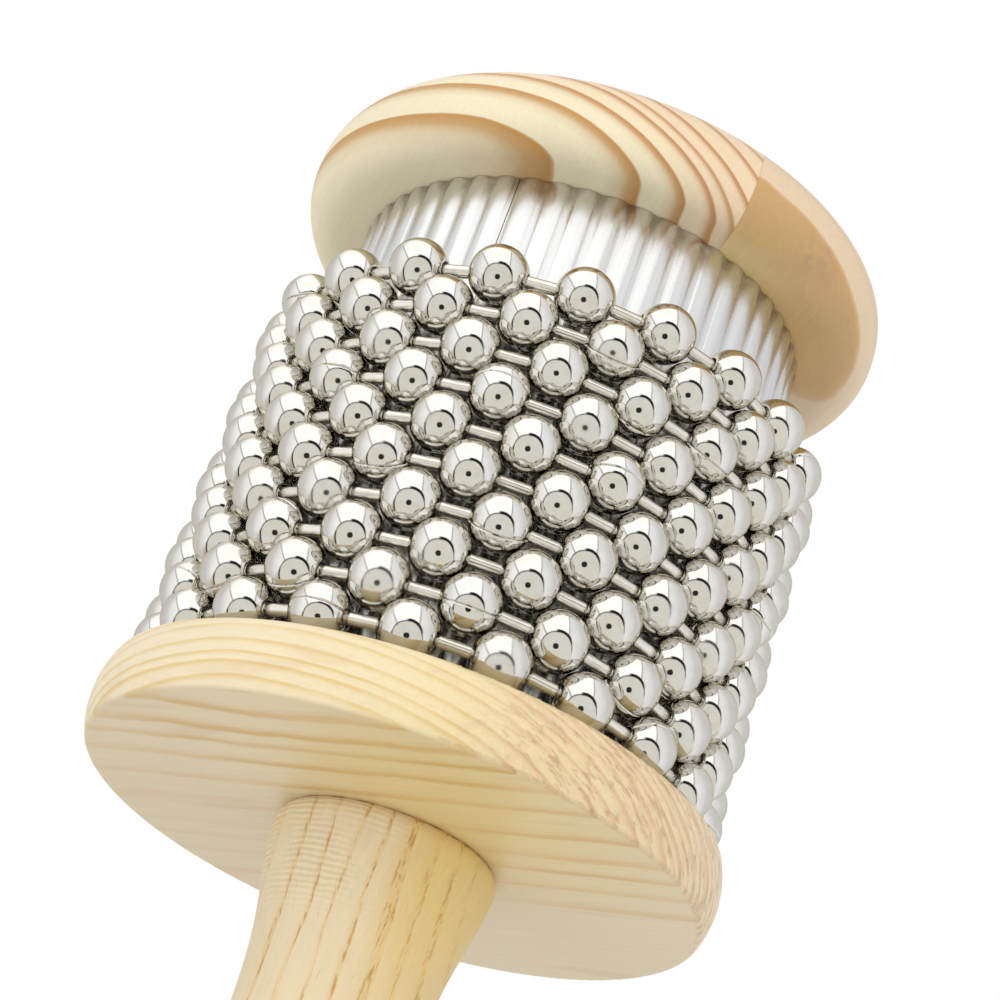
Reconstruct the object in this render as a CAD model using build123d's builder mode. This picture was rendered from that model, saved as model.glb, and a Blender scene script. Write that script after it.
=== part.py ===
"""Cabasa: a wooden drum on a turned handle, with loose loops of steel ball chain round a fluted metal sleeve.

The axis is +Z. The origin is at the centre of the handle's flat end, which is the lowest face.
"""

import os
from math import cos, radians, sin, sqrt, tan

from build123d import *

# Driving sizes in millimetres and degrees

# End discs: the lower one has a bowed rim with crisp edges, the upper one a bullnose rim
lower_disc_radius = 47.5
lower_disc_thickness = 10.8
lower_rim_bow = 1.2
lower_rim_rounding = 0.8
upper_disc_radius = 46.9
upper_disc_thickness = 14.0
upper_rim_rounding = 6.4
upper_rim_land = 0.5

# Handle, with its depths measured down from the lower disc
handle_length = 96.2
handle_joint_radius = 15.4
shoulder_radius = 16.7
shoulder_depth = 2.8
neck_radius = 14.5
neck_depth = 15.0
waist_radius = 13.6
waist_depth = 38.0
grip_radius = 16.8
grip_depth = 74.0
handle_end_radius = 16.0
handle_end_rounding = 4.5
tenon_radius = 9.0
tenon_core_depth = 36.0
glue_line = 0.05

# Fluted sleeve, rolled from sheet round the core
sleeve_crest_radius = 36.0
sleeve_sheet = 0.4
flute_count = 52
flute_depth = 0.45
flute_crest_share = 0.62
sleeve_end_gap = 0.1
seam_angle = -114.6
seam_gap = 0.15

# Ball chain loops, all alike
loop_count = 10
balls_per_loop = 20
ball_diameter = 8.9
ball_wall = 0.4
link_radius = 0.95
link_hole_play = 0.35
link_head_play = 0.15
link_head_gap = 0.3
ball_sleeve_clearance = 0.25
ball_row_gap = 0.1
seat_gap = 0.15
loop_travel = 16.45
first_ball_angle = 8.2
row_twist = 0.11

# Fasteners
dowel_count = 3
dowel_radius = 3.0
dowel_circle_radius = 24.0
dowel_disc_depth = 8.0
dowel_core_depth = 16.0
dowel_end_gap = 0.5
screw_shank_radius = 2.2
screw_head_radius = 4.5
screw_core_depth = 26.0
screw_tip_length = 5.0
screw_head_angle = 90.0
screw_recess_width = 1.2
screw_recess_span = 4.6
screw_recess_depth = 1.6

# Sizes worked out from the driving sizes
ball_radius = ball_diameter / 2
loop_radius = sleeve_crest_radius + ball_sleeve_clearance + ball_radius
ball_step = 360 / balls_per_loop
half_step = ball_step / 2
ball_pitch = 2 * loop_radius * sin(radians(half_step))
stagger_chord = 2 * loop_radius * sin(radians(half_step / 2))
nested_pitch = sqrt(max((ball_diameter + ball_row_gap) ** 2 - stagger_chord**2, 0))
row_pitch = max(nested_pitch, ball_radius + link_radius + ball_row_gap)
drum_length = seat_gap + (loop_count - 1) * row_pitch + ball_diameter + loop_travel

lower_disc_z = handle_length
drum_z = lower_disc_z + lower_disc_thickness
upper_disc_z = drum_z + drum_length
top_z = upper_disc_z + upper_disc_thickness

flute_step = 360 / flute_count
core_radius = sleeve_crest_radius - flute_depth - sleeve_sheet - glue_line
ball_hole_radius = link_radius + link_hole_play
head_reach = ball_radius - ball_wall - link_head_play
link_head_radius = (head_reach - link_head_gap / 2) / 2
head_offset = head_reach - link_head_radius

os.makedirs("parts", exist_ok=True)


def save(piece, name):
    """Name a finished piece and write its STEP file."""
    piece.part.label = name
    export_step(piece.part, f"parts/{name}.step")


def polar_point(radius, angle):
    """A point in the XY plane, by its radius and its angle in degrees."""
    return (radius * cos(radians(angle)), radius * sin(radians(angle)))


def flute_arcs(crest_radius):
    """The closed wave of one face of the fluted sheet: a wide arc on each crest and a narrow one in each valley."""
    middle_radius = crest_radius - flute_depth / 2
    crest_half = flute_step * flute_crest_share / 2
    for flute in range(flute_count):
        valley = seam_angle + flute * flute_step
        crest = valley + flute_step / 2
        rise = polar_point(middle_radius, crest - crest_half)
        fall = polar_point(middle_radius, crest + crest_half)
        next_rise = polar_point(middle_radius, crest + flute_step - crest_half)
        ThreePointArc(rise, polar_point(crest_radius, crest), fall)
        ThreePointArc(fall, polar_point(crest_radius - flute_depth, valley + flute_step), next_rise)


# Turned handle: a rounded shoulder under the disc, a slim waist, a fuller grip, a flat end and a tenon
with BuildPart() as handle:
    with BuildSketch(Plane.XZ):
        with BuildLine():
            end = (handle_end_radius - handle_end_rounding, 0)
            end_side = (handle_end_radius, handle_end_rounding)
            grip = (grip_radius, handle_length - grip_depth)
            waist = (waist_radius, handle_length - waist_depth)
            neck = (neck_radius, handle_length - neck_depth)
            shoulder = (shoulder_radius, handle_length - shoulder_depth)
            joint = (handle_joint_radius, handle_length)
            tenon_top = drum_z + tenon_core_depth
            Line((0, 0), end)
            RadiusArc(end, end_side, -handle_end_rounding)
            Spline(end_side, grip, waist, neck, shoulder, tangents=((0, 1), (0.1, 1)))
            RadiusArc(shoulder, joint, -shoulder_depth)
            Line(joint, (tenon_radius, handle_length))
            Line((tenon_radius, handle_length), (tenon_radius, tenon_top))
            Line((tenon_radius, tenon_top), (0, tenon_top))
            Line((0, tenon_top), (0, 0))
        make_face()
    revolve(axis=Axis.Z)
save(handle, "handle")

# Handle-side disc, turned with a bowed rim, bored through for the tenon and drilled for the dowels
with BuildPart() as lower_disc:
    with BuildSketch(Plane.XZ) as lower_half:
        with BuildLine():
            face_radius = lower_disc_radius - lower_rim_bow
            Line((0, drum_z), (0, lower_disc_z))
            Line((0, lower_disc_z), (face_radius, lower_disc_z))
            ThreePointArc(
                (face_radius, lower_disc_z),
                (lower_disc_radius, (lower_disc_z + drum_z) / 2),
                (face_radius, drum_z),
            )
            Line((face_radius, drum_z), (0, drum_z))
        make_face()
        fillet(lower_half.vertices().group_by(Axis.X)[-1], lower_rim_rounding)
    revolve(axis=Axis.Z)
    with BuildSketch(Plane.XY.offset(lower_disc_z)):
        Circle(tenon_radius + glue_line)
    extrude(amount=lower_disc_thickness, mode=Mode.SUBTRACT)
    with BuildSketch(Plane.XY.offset(drum_z - dowel_disc_depth)):
        with PolarLocations(dowel_circle_radius, dowel_count):
            Circle(dowel_radius + glue_line)
    extrude(amount=dowel_disc_depth, mode=Mode.SUBTRACT)
save(lower_disc, "lower_disc")

# Free-end disc with a bullnose rim, countersunk for the screw and drilled for the dowels
with BuildPart() as upper_disc:
    with BuildSketch(Plane.XY.offset(upper_disc_z)):
        Circle(upper_disc_radius)
    extrude(amount=upper_disc_thickness)
    fillet(
        upper_disc.edges().filter_by(GeomType.CIRCLE),
        min(upper_rim_rounding, (upper_disc_thickness - upper_rim_land) / 2),
    )
    with Locations((0, 0, top_z)):
        CounterSinkHole(
            screw_shank_radius + glue_line,
            screw_head_radius + glue_line,
            depth=upper_disc_thickness,
            counter_sink_angle=screw_head_angle,
        )
    with BuildSketch(Plane.XY.offset(upper_disc_z)):
        with PolarLocations(dowel_circle_radius, dowel_count):
            Circle(dowel_radius + glue_line)
    extrude(amount=dowel_disc_depth, mode=Mode.SUBTRACT)
save(upper_disc, "upper_disc")

# Wooden drum block between the discs, with blind bores for the tenon, the screw and the dowels
with BuildPart() as drum_core:
    with BuildSketch(Plane.XY.offset(drum_z)):
        Circle(core_radius)
    extrude(amount=drum_length)
    with BuildSketch(Plane.XY.offset(drum_z)):
        Circle(tenon_radius + glue_line)
    extrude(amount=tenon_core_depth + dowel_end_gap, mode=Mode.SUBTRACT)
    with BuildSketch(Plane.XY.offset(upper_disc_z - screw_core_depth - dowel_end_gap)):
        Circle(screw_shank_radius + glue_line)
    extrude(amount=screw_core_depth + dowel_end_gap, mode=Mode.SUBTRACT)
    for face_z, direction in ((drum_z, 1), (upper_disc_z, -1)):
        with BuildSketch(Plane.XY.offset(face_z)):
            with PolarLocations(dowel_circle_radius, dowel_count):
                Circle(dowel_radius + glue_line)
        extrude(amount=direction * dowel_core_depth, mode=Mode.SUBTRACT)
save(drum_core, "drum_core")

# Glued pegs between each disc and the core
for name, face_z, into_disc in (("lower_dowels", drum_z, -1), ("upper_dowels", upper_disc_z, 1)):
    with BuildPart() as dowels:
        with BuildSketch(Plane.XY.offset(face_z)):
            with PolarLocations(dowel_circle_radius, dowel_count):
                Circle(dowel_radius)
        extrude(amount=into_disc * (dowel_disc_depth - dowel_end_gap))
        with BuildSketch(Plane.XY.offset(face_z)):
            with PolarLocations(dowel_circle_radius, dowel_count):
                Circle(dowel_radius)
        extrude(amount=-into_disc * (dowel_core_depth - dowel_end_gap))
    save(dowels, name)

# Countersunk wood screw with a cross recess
with BuildPart() as end_screw:
    head_height = (screw_head_radius - screw_shank_radius) / tan(radians(screw_head_angle / 2))
    tip_z = upper_disc_z - screw_core_depth
    with BuildSketch(Plane.XZ):
        with BuildLine():
            Polyline(
                (0, top_z),
                (screw_head_radius, top_z),
                (screw_shank_radius, top_z - head_height),
                (screw_shank_radius, tip_z + screw_tip_length),
                (0, tip_z),
                close=True,
            )
        make_face()
    revolve(axis=Axis.Z)
    with BuildSketch(Plane.XY.offset(top_z)):
        Rectangle(screw_recess_span, screw_recess_width)
        Rectangle(screw_recess_width, screw_recess_span)
    extrude(amount=-screw_recess_depth, mode=Mode.SUBTRACT)
save(end_screw, "end_screw")

# Fluted sheet round the core, with a butt seam in one valley
with BuildPart() as corrugated_sleeve:
    with BuildSketch(Plane.XY.offset(drum_z + sleeve_end_gap)):
        with BuildLine():
            flute_arcs(sleeve_crest_radius)
        make_face()
        with BuildLine():
            flute_arcs(sleeve_crest_radius - sleeve_sheet)
        make_face(mode=Mode.SUBTRACT)
        with Locations(Location(polar_point(sleeve_crest_radius, seam_angle), seam_angle)):
            Rectangle(2 * (flute_depth + sleeve_sheet) + flute_depth, seam_gap, mode=Mode.SUBTRACT)
    extrude(amount=drum_length - 2 * sleeve_end_gap)
save(corrugated_sleeve, "corrugated_sleeve")

# One hollow ball, with a hole towards each of its two neighbours in the loop
with BuildPart() as ball:
    Sphere(ball_radius)
    Sphere(ball_radius - ball_wall, mode=Mode.SUBTRACT)
    for side in (-1, 1):
        towards = (-sin(radians(half_step)), side * cos(radians(half_step)), 0)
        with BuildSketch(Plane((0, 0, 0), z_dir=towards)):
            Circle(ball_hole_radius)
        extrude(amount=ball_diameter, mode=Mode.SUBTRACT)

# One dumbbell link along Y, whose heads sit inside two neighbouring balls
with BuildPart() as link:
    head_place = ball_pitch / 2 - head_offset
    with BuildSketch(Plane.XZ):
        Circle(link_radius)
    extrude(amount=head_place, both=True)
    with Locations((0, head_place, 0), (0, -head_place, 0)):
        Sphere(link_head_radius)

# A closed ring of balls and the ring of links between them
with BuildPart() as ball_ring:
    with PolarLocations(loop_radius, balls_per_loop):
        add(ball.part)

with BuildPart() as link_ring:
    with PolarLocations(loop_radius * cos(radians(half_step)), balls_per_loop, start_angle=half_step):
        add(link.part)

# The loops, counted up from the handle's disc, each turned half a ball step from the one below
for loop in range(loop_count):
    loop_z = drum_z + seat_gap + ball_radius + loop * row_pitch
    turn = first_ball_angle + loop * (half_step + row_twist)
    place = Location((0, 0, loop_z), (0, 0, turn))
    with BuildPart() as chain_balls:
        with Locations(place):
            add(ball_ring.part)
    save(chain_balls, f"chain_balls_{loop + 1:02d}")
    with BuildPart() as chain_links:
        with Locations(place):
            add(link_ring.part)
    save(chain_links, f"chain_links_{loop + 1:02d}")

print(f"height {top_z:.2f} drum {drum_length:.2f} pitch {ball_pitch:.3f} row pitch {row_pitch:.3f}")
print(f"loop radius {loop_radius:.2f} loop reach {loop_radius + ball_radius:.2f} disc {lower_disc_radius:.2f}")
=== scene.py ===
"""The looks of the cabasa: grained woods, a fluted satin sleeve and loops of plated ball chain.

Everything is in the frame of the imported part: +Z along the turned axis, with the handle's flat end at z = 0.
Sizes are written in millimetres, as in the part's source, and become metres where a mesh is made.
"""

import random
from math import asin, cos, pi, radians, sin, tau

import bpy
from mathutils import Matrix, Vector


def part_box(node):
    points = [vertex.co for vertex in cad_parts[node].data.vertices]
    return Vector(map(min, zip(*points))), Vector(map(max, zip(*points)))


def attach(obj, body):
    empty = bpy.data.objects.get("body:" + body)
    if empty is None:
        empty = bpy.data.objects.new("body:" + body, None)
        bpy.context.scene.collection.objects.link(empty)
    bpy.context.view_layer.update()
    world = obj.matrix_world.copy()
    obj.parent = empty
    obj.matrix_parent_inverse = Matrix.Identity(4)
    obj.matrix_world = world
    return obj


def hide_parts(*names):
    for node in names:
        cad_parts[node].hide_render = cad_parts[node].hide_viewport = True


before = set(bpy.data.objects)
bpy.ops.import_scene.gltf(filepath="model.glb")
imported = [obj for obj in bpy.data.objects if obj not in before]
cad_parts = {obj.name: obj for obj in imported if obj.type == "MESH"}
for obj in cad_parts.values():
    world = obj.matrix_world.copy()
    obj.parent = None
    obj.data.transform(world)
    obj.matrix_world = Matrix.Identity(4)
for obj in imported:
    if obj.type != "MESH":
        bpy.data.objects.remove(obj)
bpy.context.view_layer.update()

MM = 0.001

# Small differences between the balls: random seed, share of seams in view, and shake in millimetres
SEED = 7
SEAM_SHARE = 0.3
BALL_SHAKE = 0.03

# Ball chain, in millimetres and degrees
LOOP_COUNT = 10
BALLS_PER_LOOP = 20
BALL_RADIUS = 4.45
BALL_WALL = 0.4
HOLE_RADIUS = 1.3
LOOP_RADIUS = 40.7
FIRST_BALL_ANGLE = 8.2
ROW_TWIST = 0.11
BALL_STEP = 360 / BALLS_PER_LOOP
HALF_STEP = BALL_STEP / 2
BALL_PITCH = 2 * LOOP_RADIUS * sin(radians(HALF_STEP))
LINK_RADIUS = 0.95
LINK_HEAD_RADIUS = 1.875
LINK_HEAD_OFFSET = 2.025

# Flutes of the sleeve, with the angle of one valley in degrees
FLUTE_COUNT = 52
FLUTE_VALLEY_ANGLE = -114.6

# Late-wood lines: shares of a line's width before its place with their darkness, and the fall after it
LATE_BUILD_UP = ((1.0, 0.0), (0.6, 0.25), (0.3, 0.8), (0.0, 1.0))
LATE_FALL = 0.18
LATE_MARGIN = 5
LINES_PER_RAMP = 6

# Camera of the photograph, in millimetres
CAMERA_PLACE = Vector((0.0, -349.26, -19.66))
CAMERA_VIEW = Vector((-0.00434, 0.89511, 0.44582)).normalized()
CAMERA_UP = Vector((-0.33647, -0.42113, 0.84228))
CAMERA_LENS = 91.53
CAMERA_SENSOR = 36.0

# Floor, in millimetres
FLOOR_RADIUS = 240.0


class Graph:
    """A shorthand for laying out the nodes of one material or of the world."""

    def __init__(self, tree):
        self.nodes = tree.nodes
        self.links = tree.links

    def feed(self, socket, value):
        """Set a socket, or link it where the value is another node's output."""
        if isinstance(value, bpy.types.NodeSocket):
            self.links.new(value, socket)
        else:
            socket.default_value = value

    def add(self, kind, inputs=None, **settings):
        """One node, with its settings by name and its inputs by socket."""
        node = self.nodes.new("ShaderNode" + kind)
        for name, value in settings.items():
            setattr(node, name, value)
        for socket, value in (inputs or {}).items():
            self.feed(node.inputs[socket], value)
        return node

    def math(self, operation, *values):
        return self.add("Math", dict(enumerate(values)), operation=operation).outputs[0]

    def total(self, first, *others):
        for other in others:
            first = self.math("ADD", first, other)
        return first

    def product(self, first, *others):
        for other in others:
            first = self.math("MULTIPLY", first, other)
        return first

    def vector(self, operation, *values):
        node = self.add("VectorMath", dict(enumerate(values)), operation=operation)
        return node.outputs["Value" if operation in ("DOT_PRODUCT", "LENGTH", "DISTANCE") else "Vector"]

    def fade(self, value, low, high, start=0.0, end=1.0):
        """Go smoothly from start to end while the value goes from low to high."""
        inputs = {"Value": value, "From Min": low, "From Max": high, "To Min": start, "To Max": end}
        return self.add("MapRange", inputs, interpolation_type="SMOOTHSTEP").outputs["Result"]

    def band(self, value, low, high, soft):
        """One between low and high, and nought outside, with soft edges."""
        rising = self.fade(value, low - soft, low + soft)
        falling = self.fade(value, high - soft, high + soft, 1, 0)
        return self.product(rising, falling)

    def noise(self, place, scale, detail=2.0, roughness=0.5, distortion=0.0):
        inputs = {"Vector": place, "Scale": scale, "Detail": detail}
        inputs.update({"Roughness": roughness, "Distortion": distortion})
        return self.add("TexNoise", inputs).outputs["Fac"]

    def wobble(self, place, scale, reach, detail=1.0):
        """Noise about nought, as far as reach to each side."""
        return self.math("MULTIPLY_ADD", self.noise(place, scale, detail), 2 * reach, -reach)

    def combine(self, x, y, z):
        return self.add("CombineXYZ", {0: x, 1: y, 2: z}).outputs[0]

    def mix(self, factor, first, second):
        """Go from the first colour to the second while the factor goes from nought to one."""
        return self.add("Mix", {0: factor, 6: first, 7: second}, data_type="RGBA").outputs[2]

    def tint(self, colour, factor, dark, light):
        """Make a colour darker or lighter by a factor between nought and one."""
        value = self.math("MULTIPLY_ADD", factor, light - dark, dark)
        return self.vector("MULTIPLY", colour, self.combine(value, value, value))


class Finish(Graph):
    """One material on a Principled surface. Its place is a point on the part, in millimetres."""

    def __init__(self, name):
        self.material = bpy.data.materials.new(name)
        self.material.use_nodes = True
        super().__init__(self.material.node_tree)
        self.surface = self.nodes["Principled BSDF"]
        local = self.add("TexCoord").outputs["Object"]
        self.place = self.vector("MULTIPLY", local, (1 / MM, 1 / MM, 1 / MM))
        parts = self.add("SeparateXYZ", {0: self.place}).outputs
        self.x, self.y, self.z = parts[0], parts[1], parts[2]

    def coat(self, height=None, depth=0.05, **inputs):
        """Feed the surface by its sockets' names; a bump height of one stands for a depth in millimetres."""
        for name, value in inputs.items():
            self.feed(self.surface.inputs[name.replace("_", " ")], value)
        if height is not None:
            bump = self.add("Bump", {"Height": height, "Strength": 1.0, "Distance": depth * MM})
            self.feed(self.surface.inputs["Normal"], bump.outputs["Normal"])
        return self.material

    def growth_lines(self, depth, lines):
        """Late wood, from nought to one, where each line has its place, its width and its strength.

        The wood darkens slowly over the width up to a line's place, and is pale again straight after it.
        """
        low = lines[0][0] - LATE_MARGIN
        span = lines[-1][0] + LATE_MARGIN - low
        inputs = {"Value": depth, "From Min": low, "From Max": low + span}
        level = self.add("MapRange", inputs).outputs["Result"]
        late = None
        for start in range(0, len(lines), LINES_PER_RAMP):
            ramp = self.add("ValToRGB", {"Fac": level})
            elements = ramp.color_ramp.elements
            for element in elements:
                element.color = (0, 0, 0, 1)
            for place, width, strength in lines[start : start + LINES_PER_RAMP]:
                stops = [(place - back * width, share * strength) for back, share in LATE_BUILD_UP]
                for at, value in stops + [(place + LATE_FALL, 0.0)]:
                    elements.new((at - low) / span).color = (value, value, value, 1)
            part = ramp.outputs["Color"]
            late = part if late is None else self.math("MAXIMUM", late, part)
        return late

    def fibres(self, direction, along, across, detail=3.0):
        """Fine noise drawn out along a grain direction, with its scales per millimetre."""
        direction = Vector(direction).normalized()
        side = direction.orthogonal().normalized()
        third = direction.cross(side)
        parts = [
            self.math("MULTIPLY", self.vector("DOT_PRODUCT", self.place, tuple(axis)), scale)
            for axis, scale in ((direction, along), (side, across), (third, across))
        ]
        return self.noise(self.combine(*parts), 1.0, detail, 0.6)


def plane_direction(angle):
    """A unit vector in the XY plane, by its angle in degrees."""
    return Vector((cos(radians(angle)), sin(radians(angle)), 0))


def pale_pine():
    """Handle-side disc: yellow pine with thin, nearly straight late-wood lines, tilted through the disc."""
    wood = Finish("pale_pine")
    grain = plane_direction(-40.4)
    pith = plane_direction(49.6) * -76.2 + Vector((0, 0, -41.4))
    pith_axis = grain * cos(radians(1.7)) + Vector((0, 0, sin(radians(1.7))))
    near_lines = [(138.6, 0.8, 0.6), (140.5, 0.8, 0.7), (142.2, 0.8, 0.8), (144.0, 0.9, 0.85)]
    near_lines += [(145.3, 0.7, 0.85), (147.2, 0.9, 0.75), (149.7, 1.0, 0.65)]
    far_lines = [(153.3, 1.2, 0.8), (156.5, 1.4, 0.8), (158.9, 1.2, 0.85), (161.9, 1.4, 0.8)]
    far_lines += [(165.6, 2.0, 0.6)]
    rim_lines = [(151.2, 0.7, 0.7), (154.8, 0.7, 0.7), (157.7, 0.6, 0.7), (160.3, 0.7, 0.75)]
    rim_lines += [(163.3, 0.7, 0.7), (164.6, 0.6, 0.6), (167.0, 0.7, 0.7), (168.6, 0.7, 0.6)]
    rim_lines += [(170.4, 0.8, 0.6)]
    offset = wood.vector("SUBTRACT", wood.place, tuple(pith))
    radius = wood.vector("LENGTH", wood.vector("CROSS_PRODUCT", offset, tuple(pith_axis)))
    depth = wood.total(radius, wood.wobble(wood.place, 0.04, 0.6), wood.wobble(wood.place, 0.2, 0.15, 2))
    fibre = wood.fibres(grain, 0.06, 1.9)
    streak = wood.fibres(grain, 0.03, 0.22, 1.0)
    cloud = wood.noise(wood.place, 0.035, 2)
    spread = wood.vector("LENGTH", wood.combine(wood.x, wood.y, 0.0))
    rim = wood.fade(spread, 45.3, 46.4)
    along = wood.vector("DOT_PRODUCT", wood.place, tuple(grain))
    end_grain = wood.product(wood.fade(along, 30, 42), rim)
    seen_far = wood.math("MAXIMUM", wood.fade(along, 8, 30, 0.15, 0.9), rim)
    seen_near = wood.math("MAXIMUM", wood.fade(along, -42, -6, 0.3, 1.0), rim)
    near = wood.product(wood.growth_lines(depth, near_lines), seen_near)
    far = wood.product(wood.growth_lines(depth, far_lines), seen_far)
    late = wood.math("MAXIMUM", near, far)
    late = wood.math("MAXIMUM", late, wood.product(wood.growth_lines(depth, rim_lines), rim))
    late = wood.product(late, wood.fade(streak, 0.30, 0.55, 0.6, 1.0))
    drawn = wood.combine(wood.product(radius, 1.5), wood.product(wood.z, 0.4), wood.product(wood.x, 0.4))
    torn = wood.product(wood.fade(wood.noise(drawn, 1.0, 4, 0.7), 0.50, 0.68), end_grain)
    zone = wood.fade(wood.vector("DISTANCE", wood.place, (8.0, -26.0, 98.0)), 8, 38, 1, 0)
    early = wood.mix(cloud, (0.86, 0.73, 0.48, 1), (0.87, 0.76, 0.55, 1))
    early = wood.mix(wood.product(zone, 0.9), early, (0.86, 0.68, 0.32, 1))
    rim_tone = wood.mix(end_grain, (0.76, 0.54, 0.20, 1), (0.64, 0.39, 0.19, 1))
    late_tone = wood.mix(rim, (0.72, 0.45, 0.13, 1), rim_tone)
    colour = wood.mix(late, early, late_tone)
    colour = wood.mix(wood.product(wood.fade(streak, 0.60, 0.72), 0.25), colour, (0.72, 0.46, 0.28, 1))
    colour = wood.mix(wood.product(end_grain, 0.35), colour, (0.78, 0.56, 0.36, 1))
    colour = wood.mix(wood.product(torn, 0.6), colour, (0.52, 0.30, 0.15, 1))
    colour = wood.tint(colour, fibre, 0.91, 1.07)
    height = wood.total(wood.product(fibre, 0.6), wood.product(late, 0.35), wood.product(torn, -1.2))
    rough = wood.math("MULTIPLY_ADD", fibre, 0.16, 0.36)
    return wood.coat(height, 0.05, Base_Color=colour, Roughness=rough, Specular_IOR_Level=0.4)


def knotty_pine():
    """Free-end disc: two glued boards, one with bold arched rings and one of plain amber flat-sawn wood."""
    wood = Finish("knotty_pine")
    grain = plane_direction(-81.65)
    pith = (-38.7, -5.7, 119.3)
    pith_axis = (0.1446, -0.9852, -0.0922)
    board_across = (0.9894, 0.1452, 0.0)
    glue_place = 11.6
    glue_half = 0.08
    rings = [(76.7, 3.6, 1.0), (81.9, 2.4, 1.0), (85.2, 1.6, 1.0), (87.9, 1.2, 1.0), (89.6, 0.9, 0.9)]
    rings += [(92.0, 1.1, 1.0), (95.3, 1.1, 0.95), (98.4, 1.1, 0.85), (101.6, 1.1, 0.8)]
    offset = wood.vector("SUBTRACT", wood.place, pith)
    radius = wood.vector("LENGTH", wood.vector("CROSS_PRODUCT", offset, pith_axis))
    waves = wood.total(wood.wobble(wood.place, 0.05, 0.5), wood.wobble(wood.place, 0.3, 0.05, 2))
    ringed = wood.growth_lines(wood.total(radius, waves), rings)
    flat_depth = wood.total(
        wood.vector("DOT_PRODUCT", wood.place, (0.0, 0.17, 1.0)),
        wood.wobble(wood.place, 0.05, 0.7),
        wood.wobble(wood.place, 0.25, 0.25, 2),
    )
    fibre = wood.fibres(grain, 0.06, 1.7)
    cloud = wood.noise(wood.place, 0.04, 2)
    left_early = wood.mix(cloud, (0.85, 0.75, 0.50, 1), (0.88, 0.79, 0.57, 1))
    left_early = wood.mix(wood.fade(radius, 82, 90, 0.0, 0.7), left_early, (0.84, 0.61, 0.40, 1))
    left_late = wood.mix(wood.fade(radius, 79, 88), (0.53, 0.27, 0.07, 1), (0.52, 0.24, 0.08, 1))
    left = wood.mix(ringed, left_early, left_late)
    amber = wood.mix(wood.fade(cloud, 0.4, 0.7), (0.55, 0.36, 0.16, 1), (0.59, 0.36, 0.16, 1))
    pale_amber = wood.mix(wood.fade(wood.y, -20, -34), (0.70, 0.46, 0.18, 1), (0.82, 0.62, 0.28, 1))
    spread = wood.vector("LENGTH", wood.combine(wood.x, wood.y, 0.0))
    amber = wood.mix(wood.fade(spread, 38, 45.5, 1, 0), amber, pale_amber)
    smudge = wood.fade(wood.vector("DISTANCE", wood.place, (31.5, -34.5, 193.8)), 1, 7, 1, 0)
    smudge = wood.product(smudge, wood.fade(wood.noise(wood.place, 0.35, 3), 0.35, 0.65))
    amber = wood.mix(wood.product(smudge, 0.55), amber, (0.36, 0.24, 0.15, 1))
    flat_lines = [(189.2, 2.4, 0.8), (194.8, 2.4, 0.4), (199.4, 2.4, 0.5), (204.0, 3.0, 0.5)]
    border = wood.growth_lines(flat_depth, flat_lines)
    right = wood.mix(wood.fade(flat_depth, 188.6, 189.6), amber, (0.79, 0.61, 0.41, 1))
    right = wood.mix(wood.product(border, 0.6), right, (0.64, 0.36, 0.14, 1))
    across = wood.vector("DOT_PRODUCT", wood.place, board_across)
    colour = wood.mix(wood.fade(across, glue_place - glue_half, glue_place + glue_half), left, right)
    glue = wood.band(across, glue_place - glue_half, glue_place + glue_half, glue_half)
    colour = wood.mix(wood.product(glue, 0.35), colour, (0.42, 0.24, 0.10, 1))
    colour = wood.tint(colour, fibre, 0.91, 1.07)
    height = wood.total(wood.product(fibre, 0.6), wood.product(ringed, 0.3))
    rough = wood.math("MULTIPLY_ADD", fibre, 0.16, 0.34)
    return wood.coat(height, 0.05, Base_Color=colour, Roughness=rough, Specular_IOR_Level=0.4)


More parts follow.
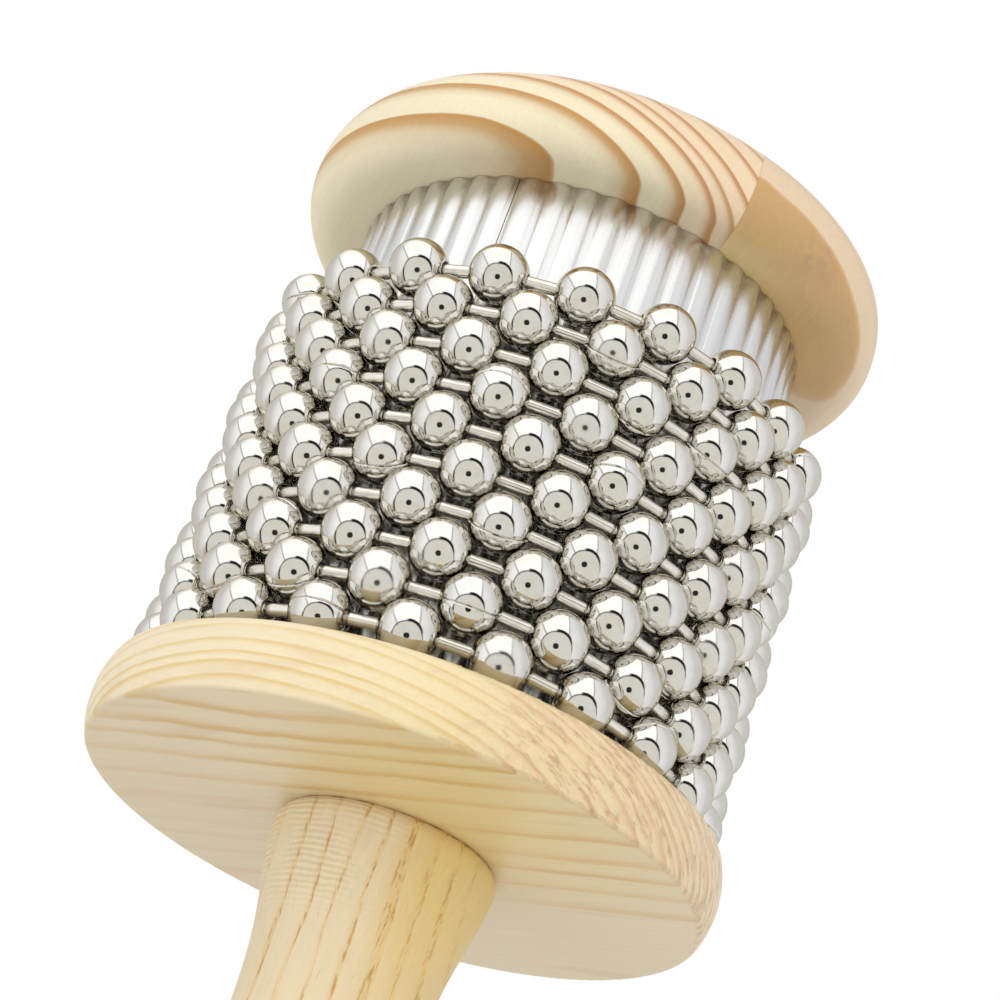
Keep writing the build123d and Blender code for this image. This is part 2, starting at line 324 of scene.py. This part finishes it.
def ash_wood():
    """Handle: pale ash, with rows of open brown pores, a yellow side and light lathe marks by the disc."""
    wood = Finish("ash_wood")
    across_rings = plane_direction(-9)
    drift = wood.wobble(wood.vector("MULTIPLY", wood.place, (0.05, 0.05, 0.012)), 1.0, 2.2)
    shake = wood.wobble(wood.vector("MULTIPLY", wood.place, (0.25, 0.25, 0.08)), 1.0, 0.8)
    depth = wood.total(wood.vector("DOT_PRODUCT", wood.place, tuple(across_rings)), drift, shake)
    rows = [(-13.6, 0.9, 0.6), (-9.8, 1.0, 0.9), (-6.2, 1.1, 0.8), (-2.4, 1.1, 0.8), (1.4, 1.2, 0.9)]
    rows += [(5.8, 2.8, 1.0), (9.0, 1.6, 0.7), (12.0, 1.5, 0.8), (14.6, 1.2, 0.6)]
    early = wood.growth_lines(depth, rows)
    fibre = wood.fibres((0, 0, 1), 0.07, 2.2)
    pores = wood.fibres((0, 0, 1), 0.30, 2.4, 3.0)
    dashes = wood.product(wood.fade(pores, 0.49, 0.62), wood.fade(early, 0.3, 0.8))
    specks = wood.product(wood.fade(wood.fibres((0, 0, 1), 0.45, 2.6, 1.0), 0.72, 0.78), 0.25)
    cloud = wood.noise(wood.place, 0.05, 2)
    yellow = wood.product(wood.fade(depth, 0.0, 9.0), wood.fade(wood.z, 60, 88, 0.35, 1.0))
    base = wood.mix(yellow, (0.80, 0.67, 0.45, 1), (0.77, 0.58, 0.25, 1))
    base = wood.mix(wood.product(early, 0.5), base, (0.77, 0.51, 0.17, 1))
    base = wood.tint(base, cloud, 0.94, 1.06)
    colour = wood.mix(wood.math("MAXIMUM", wood.product(dashes, 0.85), specks), base, (0.56, 0.30, 0.08, 1))
    colour = wood.tint(colour, fibre, 0.90, 1.07)
    marks = wood.total(wood.product(wood.z, tau / 0.85), wood.wobble(wood.place, 0.35, 2.5))
    marks = wood.math("SINE", marks)
    marked = wood.product(wood.fade(wood.z, 78, 86), wood.fade(wood.x, -8, 6, 1, 0))
    marked = wood.product(marked, wood.fade(wood.noise(wood.place, 0.12, 1), 0.35, 0.6))
    colour = wood.tint(colour, wood.product(marks, marked), 1.0, 0.91)
    seat = wood.product(wood.fade(wood.z, 95.9, 96.12), wood.fade(wood.noise(wood.place, 0.5, 3), 0.35, 0.65))
    colour = wood.mix(seat, colour, (0.16, 0.10, 0.05, 1))
    marks_height = wood.product(marks, marked, 0.7)
    height = wood.total(wood.product(fibre, 0.5), wood.product(dashes, -0.8), marks_height)
    rough = wood.math("MULTIPLY_ADD", fibre, 0.18, 0.38)
    return wood.coat(height, 0.06, Base_Color=colour, Roughness=rough, Specular_IOR_Level=0.4)


def plain_wood(name, pale, dark, grain):
    """Hidden turned wood: fine fibres and soft bands along one direction."""
    wood = Finish(name)
    fibre = wood.fibres(grain, 0.05, 1.5)
    bands = wood.math("SINE", wood.total(wood.product(wood.x, 1.6), wood.wobble(wood.place, 0.06, 3.0)))
    factor = wood.math("MULTIPLY_ADD", bands, 0.25, fibre)
    colour = wood.mix(factor, dark, pale)
    return wood.coat(fibre, 0.06, Base_Color=colour, Roughness=wood.math("MULTIPLY_ADD", fibre, 0.2, 0.5))


def fluted_metal():
    """Sleeve: satin sheet, drawn along its length, with painted shade low down behind the chain, valleys
    darkened partly by grime and partly by painted shade, and a painted shade and reflection of the wood along
    its top edge.
    """
    metal = Finish("fluted_metal")
    drawn = metal.fibres((0, 0, 1), 0.02, 5.0, 4.0)
    dents = metal.noise(metal.place, 0.14, 2)
    dull = metal.noise(metal.place, 0.5, 4, 0.6)
    colour = metal.mix(dull, (0.73, 0.728, 0.718, 1), (0.79, 0.789, 0.783, 1))
    # Painted shade: the sleeve is darker below the top of the chain, so that it looks shaded in the gaps
    # between the balls
    chain_shade = metal.fade(metal.z, 158, 170, 1, 0)
    turn = metal.math("ARCTAN2", metal.y, metal.x)
    phase = metal.math("MULTIPLY_ADD", turn, FLUTE_COUNT, -FLUTE_COUNT * radians(FLUTE_VALLEY_ANGLE))
    valley = metal.math("COSINE", phase)
    # Painted shade and painted reflection along the top edge: a scalloped band where the sleeve meets the
    # upper disc, standing in for the disc's shadow and the wood mirrored in the sheet
    edge = metal.total(metal.product(valley, 1.5), metal.z)
    top_shade_and_reflection = metal.product(metal.fade(edge, 186.6, 190.4), metal.fade(dull, 0.2, 0.6))
    # Darker in the valleys: partly grime, partly painted shade in the hollows of the flutes
    colour = metal.mix(metal.product(metal.fade(valley, 0.1, 1.0), 0.16), colour, (0.40, 0.395, 0.38, 1))
    # Painted shade behind the chain, mixed into the sheet's colour
    colour = metal.mix(metal.product(chain_shade, 0.3), colour, (0.20, 0.195, 0.185, 1))
    # Brown-grey painted shade and reflection of the wood at the top edge
    colour = metal.mix(metal.product(top_shade_and_reflection, 0.65), colour, (0.22, 0.175, 0.13, 1))
    rough = metal.total(metal.product(drawn, 0.14), metal.product(dull, 0.08), 0.15)
    height = metal.total(metal.product(drawn, 0.15), dents)
    return metal.coat(height, 0.08, Base_Color=colour, Roughness=rough, Metallic=1.0)


def bright_plate(name, pale, warm, roughness, grain_depth, metallic=1.0):
    """Nickel plate: nearly a mirror, with smears, fine scratches, a warm tarnish and a few dull places."""
    metal = Finish(name)
    smear = metal.noise(metal.place, 0.55, 4, 0.6)
    scratch = metal.noise(metal.place, 6.0, 3, 0.7, 1.5)
    colour = metal.mix(metal.fade(smear, 0.35, 0.7), pale, warm)
    dull = metal.fade(metal.noise(metal.place, 0.13, 0), 0.60, 0.74)
    scratched = metal.total(metal.product(metal.fade(scratch, 0.6, 0.8), 0.06), metal.product(dull, 0.10))
    rough = metal.total(metal.product(smear, 0.06), scratched, roughness)
    height = metal.total(metal.product(scratch, 0.4), metal.product(metal.noise(metal.place, 0.5, 0), 4.0))
    metal.coat(Specular_Tint=(0.82, 0.77, 0.66, 1), Metallic=metallic)
    return metal.coat(height, grain_depth, Base_Color=colour, Roughness=rough)


def screw_steel():
    """End screw: zinc plate with turning marks and small dark blemishes."""
    metal = Finish("screw_steel")
    spread = metal.vector("LENGTH", metal.combine(metal.x, metal.y, 0.0))
    turned = metal.math("SINE", metal.product(spread, tau / 0.25))
    blemish = metal.noise(metal.place, 1.2, 4, 0.65)
    colour = metal.mix(metal.fade(blemish, 0.45, 0.75), (0.60, 0.60, 0.58, 1), (0.38, 0.37, 0.35, 1))
    rough = metal.math("MULTIPLY_ADD", blemish, 0.25, 0.22)
    height = metal.math("MULTIPLY_ADD", turned, 0.3, blemish)
    return metal.coat(height, 0.03, Base_Color=colour, Roughness=rough, Metallic=1.0)


def new_piece(name, points, faces, body, material):
    """A smooth mesh in millimetres, which rides on a body and carries the given material."""
    mesh = bpy.data.meshes.new(name)
    mesh.from_pydata([(x * MM, y * MM, z * MM) for x, y, z in points], [], faces)
    mesh.polygons.foreach_set("use_smooth", [True] * len(mesh.polygons))
    mesh.materials.append(material)
    piece = bpy.data.objects.new(name, mesh)
    bpy.context.scene.collection.objects.link(piece)
    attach(piece, body)
    return piece


def ring_faces(rows, columns, first, closed):
    """Faces between rows of points that each go once round; closed joins the last row to the first."""
    faces = []
    for row in range(rows if closed else rows - 1):
        here = first + row * columns
        there = first + (row + 1) % rows * columns
        for column in range(columns):
            after = (column + 1) % columns
            faces.append((here + column, here + after, there + after, there + column))
    return faces


def ball_profile():
    """A ball's section as angles from hole to hole and back inside, each with its depth below the skin."""
    hole = asin(HOLE_RADIUS / BALL_RADIUS)
    lip = [(0.0, 0.18), (0.015, 0.08), (0.045, 0.025), (0.10, 0.0)]
    outer_rows = 22
    inner_rows = 9
    edge = hole + lip[-1][0]
    span = pi - 2 * edge
    outer = [(edge + span * n / outer_rows, 0.0) for n in range(1, outer_rows)]
    inner_span = pi - 2 * hole
    inner = [(pi - hole - inner_span * n / inner_rows, BALL_WALL) for n in range(inner_rows + 1)]
    near = [(hole + angle, drop) for angle, drop in lip]
    far = [(pi - hole - angle, drop) for angle, drop in reversed(lip)]
    return near + outer + far + inner


def ball_columns():
    """Places round a ball: a slit seam as offsets in millimetres with their depths, then even angles."""
    slit = [(-0.26, 0.0), (-0.11, 0.02), (-0.06, 0.3), (0.06, 0.3), (0.11, 0.02), (0.26, 0.0)]
    clear = 0.25
    even = 34
    angles = [clear + (tau - 2 * clear) * n / (even - 1) for n in range(even)]
    return slit, angles


def ball_points(roll):
    """Points of one hollow ball with a slit seam, its holes turned towards its neighbours in the loop."""
    slit, angles = ball_columns()
    points = []
    for theta, drop in ball_profile():
        outside = drop < BALL_WALL
        bend = radians(HALF_STEP) * cos(theta)
        places = [(offset / (BALL_RADIUS * sin(theta)), dip if outside else 0.0) for offset, dip in slit]
        places += [(angle, 0.0) for angle in angles]
        for angle, dip in places:
            radius = BALL_RADIUS - drop - dip
            x = radius * sin(theta) * cos(angle + roll)
            y = radius * cos(theta)
            z = radius * sin(theta) * sin(angle + roll)
            points.append((x * cos(bend) - y * sin(bend), x * sin(bend) + y * cos(bend), z))
    return points


def link_points():
    """Points and faces of one dumbbell link along Y, from one head's end to the other's, and its columns."""
    columns = 24
    head_rows = 9
    head_place = BALL_PITCH / 2 - LINK_HEAD_OFFSET
    neck = pi - asin(LINK_RADIUS / LINK_HEAD_RADIUS)
    turns = [neck * n / head_rows for n in range(1, head_rows + 1)]
    head = [(head_place + LINK_HEAD_RADIUS * cos(turn), LINK_HEAD_RADIUS * sin(turn)) for turn in turns]
    half = head + [(head_place * share, LINK_RADIUS) for share in (0.66, 0.5, 0.3, 0.1)]
    profile = half + [(-along, radius) for along, radius in reversed(half)]
    points = []
    for along, radius in profile:
        for column in range(columns):
            turn = tau * column / columns
            points.append((radius * cos(turn), along, radius * sin(turn)))
    return points, ring_faces(len(profile), columns, 0, False), columns


def chain_loops(ball_material, link_material):
    """Ten closed loops of balls and links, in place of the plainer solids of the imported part."""
    rng = random.Random(SEED)
    rows = len(ball_profile())
    columns = sum(len(places) for places in ball_columns())
    link, link_faces, link_columns = link_points()
    link_faces.append(tuple(range(link_columns)))
    link_faces.append(tuple(reversed(range(len(link) - link_columns, len(link)))))
    for loop in range(LOOP_COUNT):
        name = f"{loop + 1:02d}"
        low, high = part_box(f"chain_balls_{name}")
        height = (low[2] + high[2]) / 2 / MM
        turn = FIRST_BALL_ANGLE + loop * (HALF_STEP + ROW_TWIST)
        ball_mesh, ball_faces, link_mesh, all_link_faces = [], [], [], []
        for step in range(BALLS_PER_LOOP):
            shake = Vector((0, rng.uniform(-BALL_SHAKE, BALL_SHAKE), rng.uniform(-BALL_SHAKE, BALL_SHAKE)))
            spin = Matrix.Rotation(radians(turn + step * BALL_STEP), 3, "Z")
            centre = Vector((LOOP_RADIUS, 0, 0)) + shake
            first = len(ball_mesh)
            # A seam lies on the outer half, or else turned towards the drum
            seam_in_view = rng.random() < SEAM_SHARE
            roll = rng.uniform(-0.5 * pi, 0.5 * pi) if seam_in_view else rng.uniform(0.6 * pi, 1.4 * pi)
            for point in ball_points(roll):
                place = spin @ (Vector(point) + centre)
                ball_mesh.append((place.x, place.y, place.z + height))
            ball_faces += ring_faces(rows, columns, first, True)
            spin = Matrix.Rotation(radians(turn + HALF_STEP + step * BALL_STEP), 3, "Z")
            centre = Vector((LOOP_RADIUS * cos(radians(HALF_STEP)), 0, 0))
            first = len(link_mesh)
            for point in link:
                place = spin @ (Vector(point) + centre)
                link_mesh.append((place.x, place.y, place.z + height))
            all_link_faces += [tuple(corner + first for corner in face) for face in link_faces]
        body = f"loop_{name}"
        balls = new_piece(f"balls_{name}", ball_mesh, ball_faces, body, ball_material)
        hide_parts(f"chain_balls_{name}")
        links = new_piece(f"links_{name}", link_mesh, all_link_faces, body, link_material)
        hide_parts(f"chain_links_{name}")


def paint(node, material):
    """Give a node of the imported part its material."""
    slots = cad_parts[node].data.materials
    slots.clear()
    slots.append(material)


def add_camera():
    """The photograph's camera: below the drum, looking up at it, and rolled a little."""
    camera = bpy.data.cameras.new("camera")
    camera.sensor_width = CAMERA_SENSOR
    camera.lens = CAMERA_LENS
    camera.clip_start = 0.01
    seat = bpy.data.objects.new("camera", camera)
    right = CAMERA_VIEW.cross(CAMERA_UP).normalized()
    up = right.cross(CAMERA_VIEW)
    turned = Matrix((right, up, -CAMERA_VIEW)).transposed().to_4x4()
    seat.matrix_world = Matrix.Translation(CAMERA_PLACE * MM) @ turned
    bpy.context.scene.collection.objects.link(seat)
    bpy.context.scene.camera = seat
    return right, up


def add_floor():
    """A round pale table under the handle, small enough to stay out of the low camera's way."""
    rim = 96
    reach = FLOOR_RADIUS * MM
    points = [(reach * cos(tau * n / rim), reach * sin(tau * n / rim), 0) for n in range(rim)]
    mesh = bpy.data.meshes.new("floor")
    mesh.from_pydata(points, [], [tuple(range(rim))])
    material = bpy.data.materials.new("floor_paper")
    material.use_nodes = True
    surface = material.node_tree.nodes["Principled BSDF"]
    surface.inputs["Base Color"].default_value = (0.90, 0.90, 0.89, 1)
    surface.inputs["Roughness"].default_value = 0.9
    mesh.materials.append(material)
    floor = bpy.data.objects.new("floor", mesh)
    bpy.context.scene.collection.objects.link(floor)
    floor.visible_glossy = False


def add_lamp(name, place, target, size, power):
    """A soft square lamp, aimed at a point; it lights the part and isn't mirrored in it."""
    light = bpy.data.lights.new(name, "AREA")
    light.size = size * MM
    light.energy = power
    lamp = bpy.data.objects.new(name, light)
    lamp.location = Vector(place) * MM
    lamp.rotation_euler = (Vector(target) - Vector(place)).to_track_quat("-Z", "Y").to_euler()
    lamp.visible_glossy = False
    bpy.context.scene.collection.objects.link(lamp)


def add_world(right, up):
    """A light tent: white to the camera, even on the woods, and with panels and seams for metal to mirror."""
    world = bpy.data.worlds.new("tent")
    world.use_nodes = True
    bpy.context.scene.world = world
    tent = Graph(world.node_tree)
    background = tent.nodes["Background"]
    ray = tent.add("TexCoord").outputs["Generated"]
    ahead = tent.vector("DOT_PRODUCT", ray, tuple(-CAMERA_VIEW))
    spread = tent.math("ADD", ahead, 1.02)
    across = tent.math("DIVIDE", tent.vector("DOT_PRODUCT", ray, tuple(right)), spread)
    rise = tent.math("DIVIDE", tent.vector("DOT_PRODUCT", ray, tuple(up)), spread)

    def oval(centre, half):
        """Grows outwards from a centre, and is about one on a rounded oval of the given half sizes."""
        parts = []
        for value, middle, reach in zip((across, rise), centre, half):
            scaled = tent.math("MULTIPLY_ADD", value, 1 / reach, -middle / reach)
            parts.append(tent.math("POWER", tent.math("ABSOLUTE", scaled), 2.4))
        return tent.total(*parts)

    # Front panel with its dark outline, and the folds at its top right and left
    front = oval((-0.06, -0.36), (0.51, 0.69))
    inside = tent.fade(front, 0.96, 1.04, 1, 0)
    outline = tent.product(tent.band(front, 0.98, 1.18, 0.05), tent.fade(rise, -0.55, -0.2))
    arch = tent.product(tent.band(across, -0.02, 0.47, 0.06), tent.fade(rise, -0.14, -0.02))
    fold = tent.product(tent.band(front, 0.98, 1.40, 0.06), arch)
    left_edge = tent.product(tent.fade(across, -0.40, -0.32, 1, 0), tent.band(rise, -0.75, 0.02, 0.1))
    fold = tent.math("MAXIMUM", fold, tent.product(tent.band(front, 0.98, 1.36, 0.06), left_edge, 0.9))
    # Softbox above, between two slanted seams, and the lens in the panel
    left_seam = tent.total(across, tent.product(rise, 0.557), 0.158)
    right_seam = tent.total(across, tent.product(rise, -0.27), -0.272)
    softbox = tent.product(tent.fade(left_seam, -0.03, 0.03), tent.fade(right_seam, -0.03, 0.03, 1, 0))
    softbox = tent.product(softbox, tent.band(rise, 0.2, 1.9, 0.1))
    left_line = tent.band(left_seam, -0.07, -0.02, 0.02)
    right_line = tent.band(right_seam, 0.01, 0.05, 0.02)
    seams = tent.product(tent.math("MAXIMUM", left_line, right_line), tent.band(rise, 0.25, 1.3, 0.06))
    lens = tent.fade(oval((-0.055, -0.095), (0.09, 0.09)), 0.7, 1.2, 1, 0)
    # Sides that dim outwards, a warm low end, and all the rest laid over them
    height = tent.add("SeparateXYZ", {0: ray}).outputs[2]
    low = tent.fade(height, -0.45, -0.80)
    sides = tent.mix(tent.fade(across, -0.3, 0.3), (1.20, 1.20, 1.20, 1), (1.05, 1.055, 1.07, 1))
    colour = tent.mix(softbox, sides, (1.42, 1.42, 1.42, 1))
    dim = tent.product(tent.fade(across, -1.3, -0.4, 0.64, 1.0), tent.fade(across, 0.45, 1.2, 1.0, 0.76))
    colour = tent.vector("MULTIPLY", colour, tent.combine(dim, dim, dim))
    colour = tent.mix(low, colour, (0.55, 0.48, 0.37, 1))
    colour = tent.mix(inside, colour, (0.87, 0.865, 0.80, 1))
    colour = tent.mix(tent.product(outline, 0.85), colour, (0.05, 0.05, 0.05, 1))
    colour = tent.mix(tent.product(seams, 0.7), colour, (0.15, 0.15, 0.15, 1))
    colour = tent.mix(fold, colour, (0.02, 0.02, 0.02, 1))
    colour = tent.mix(lens, colour, (0.03, 0.03, 0.03, 1))
    # Mirrors show the tent, woods get an even light, and the camera sees white
    path = tent.add("LightPath").outputs
    even = tent.mix(tent.fade(height, -0.4, 0.8), (0.78, 0.78, 0.78, 1), (0.61, 0.61, 0.62, 1))
    seen = tent.mix(path["Is Glossy Ray"], even, colour)
    seen = tent.mix(path["Is Camera Ray"], seen, (1, 1, 1, 1))
    tent.feed(background.inputs["Color"], seen)


finishes = {
    "handle": ash_wood(),
    "lower_disc": pale_pine(),
    "upper_disc": knotty_pine(),
    "drum_core": plain_wood("core_wood", (0.72, 0.56, 0.34, 1), (0.58, 0.42, 0.22, 1), (0, 0, 1)),
    "corrugated_sleeve": fluted_metal(),
    "end_screw": screw_steel(),
}
peg_wood = plain_wood("peg_wood", (0.76, 0.60, 0.38, 1), (0.62, 0.45, 0.25, 1), (0, 0, 1))
finishes["lower_dowels"] = peg_wood
finishes["upper_dowels"] = peg_wood
for node, material in finishes.items():
    paint(node, material)

chain_loops(
    bright_plate("plated_ball", (0.75, 0.74, 0.71, 1), (0.71, 0.685, 0.63, 1), 0.02, 0.004),
    bright_plate("plated_link", (0.80, 0.78, 0.72, 1), (0.74, 0.71, 0.63, 1), 0.13, 0.01, 0.9),
)

camera_right, camera_up = add_camera()
add_floor()
add_world(camera_right, camera_up)
add_lamp("key", (-260, -760, 480), (0, 0, 150), 500, 1.5)
add_lamp("fill", (500, -500, 120), (0, 0, 120), 600, 1.3)
add_lamp("left", (-620, -330, 50), (0, 0, 150), 600, 1.2)
bpy.context.scene.view_settings.view_transform = "Standard"
